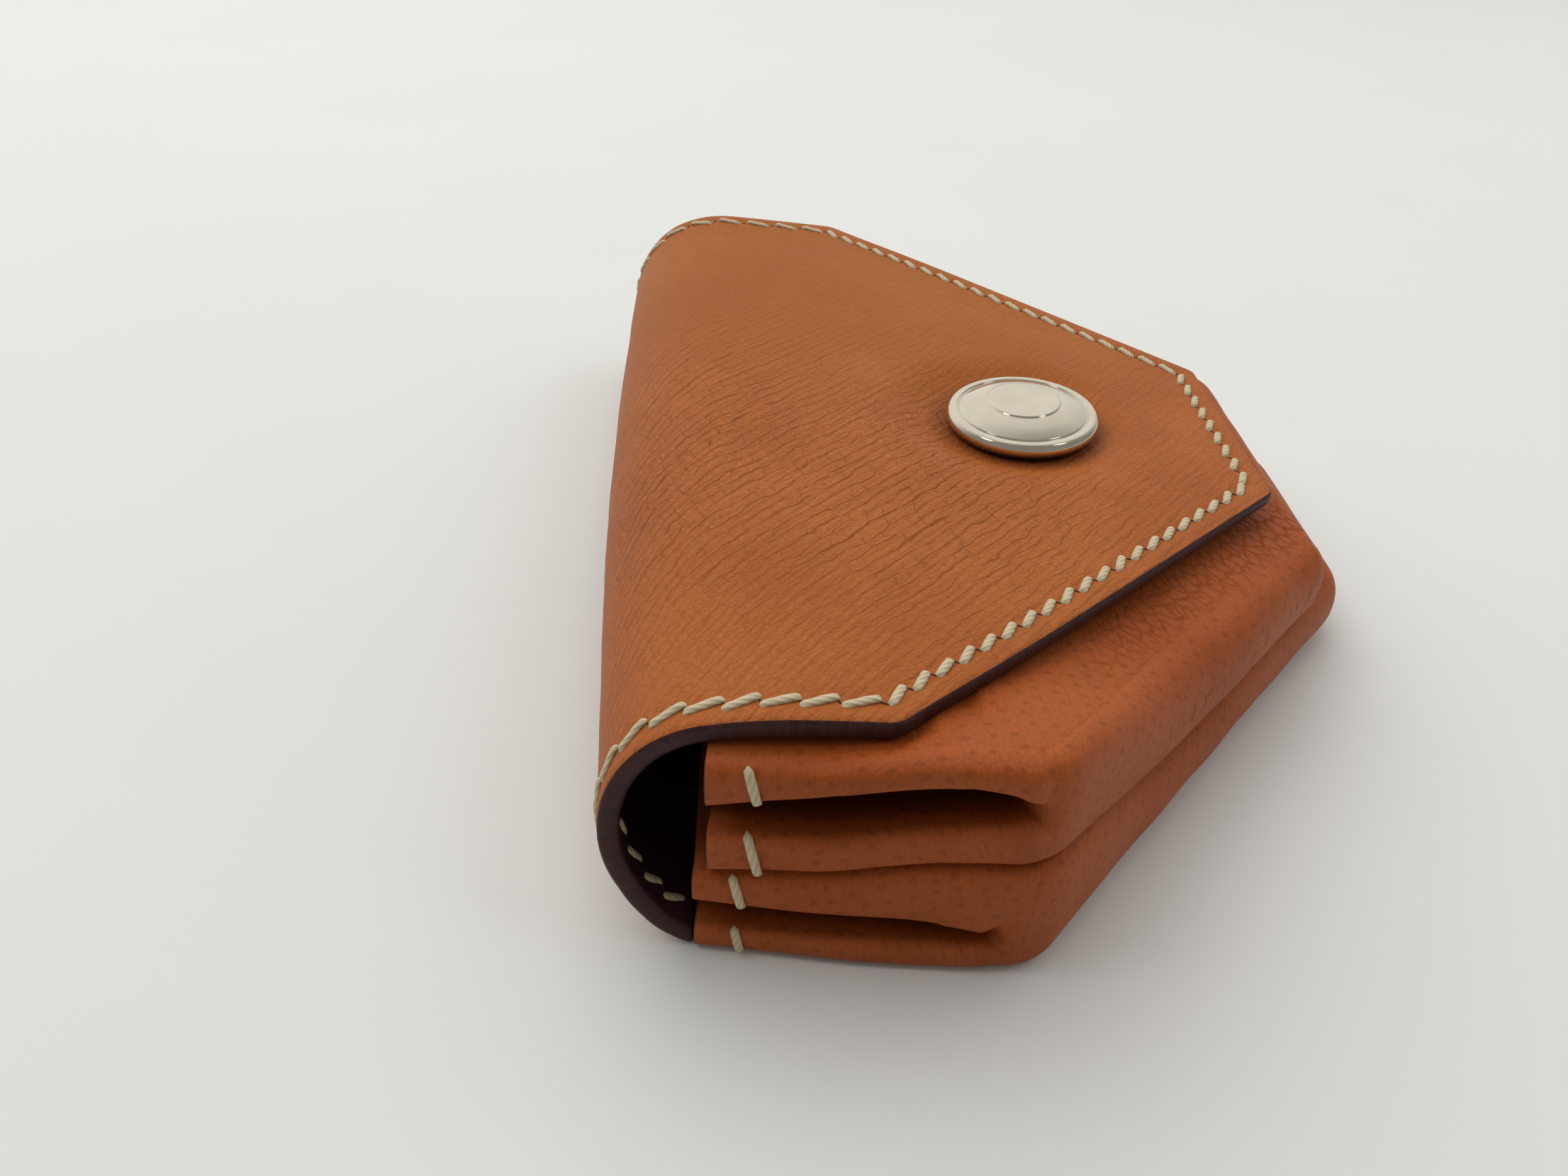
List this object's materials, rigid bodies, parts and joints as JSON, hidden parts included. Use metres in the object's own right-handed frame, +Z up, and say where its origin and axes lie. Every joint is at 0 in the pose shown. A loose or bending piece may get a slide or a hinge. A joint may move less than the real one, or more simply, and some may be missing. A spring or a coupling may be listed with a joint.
{
  "type": "coin purse",
  "caption": "Folding leather coin purse: stacked bellows pouches wrapped by a lined shell whose tapered flap closes over the top with a round press stud.",
  "frame": {"origin": "bottom centre of the bounding box, on the surface the purse lies on", "axes": "+X along the spine (the long side), -Y towards the front edge of the flap, +Z up"},
  "size_m": [0.1132, 0.079, 0.0235],
  "materials": {
    "leather": "tan smooth-grain leather, semi-matt with a slight wax sheen",
    "lining": "dark burgundy lining leather with a painted edge, semi-matt",
    "thread": "ivory waxed thread",
    "metal": "polished nickel-coloured plating"
  },
  "bodies": {
    "base": {"lower_bottom_panel": "leather", "lower_fold": "leather", "lower_gusset_left": "leather", "lower_gusset_right": "leather", "back_leather": "leather", "back_lining": "lining", "back_stitching": "thread", "lower_mouth_stitching": "thread"},
    "divider": {"lower_top_panel": "leather", "upper_bottom_panel": "leather", "upper_fold": "leather", "upper_gusset_left": "leather", "upper_gusset_right": "leather", "divider_stitching": "thread"},
    "top": {"upper_top_panel": "leather", "upper_mouth_stitching": "thread", "snap_stud": "metal", "snap_rivet": "metal"},
    "spine": {"spine_leather": "leather", "spine_lining": "lining", "spine_stitching": "thread"},
    "flap": {"flap_leather": "leather", "flap_lining": "lining", "flap_stitching": "thread", "snap_cap": "metal", "snap_socket": "metal", "snap_spring": "metal"}
  },
  "joints": [
    {"name": "spine_fold", "type": "hinge", "parent": "base", "child": "spine", "pos_m": [0, 0.03638, 0.00385], "axis": [-1, 0, 0], "range_deg": [0, 85]},
    {"name": "flap_open", "type": "hinge", "parent": "spine", "child": "flap", "pos_m": [0, 0.03638, 0.01895], "axis": [-1, 0, 0], "range_deg": [0, 85], "deforming": ["snap_spring"]},
    {"name": "lower_pouch_open", "type": "hinge", "parent": "base", "child": "divider", "pos_m": [0, -0.03748, 0.00396], "axis": [1, 0, 0], "range_deg": [0, 6.8], "deforming": ["lower_fold", "lower_gusset_left", "lower_gusset_right"]},
    {"name": "upper_pouch_open", "type": "hinge", "parent": "divider", "child": "top", "pos_m": [0, -0.03118, 0.01172], "axis": [1, 0, 0], "range_deg": [0, 8.5], "deforming": ["upper_fold", "upper_gusset_left", "upper_gusset_right"]}
  ],
  "couplings": [
    {"joint": "spine_fold", "follows": "flap_open", "ratio": 1},
    {"joint": "lower_pouch_open", "follows": "flap_open", "ratio": 0.08},
    {"joint": "upper_pouch_open", "follows": "flap_open", "ratio": 0.1}
  ]
}
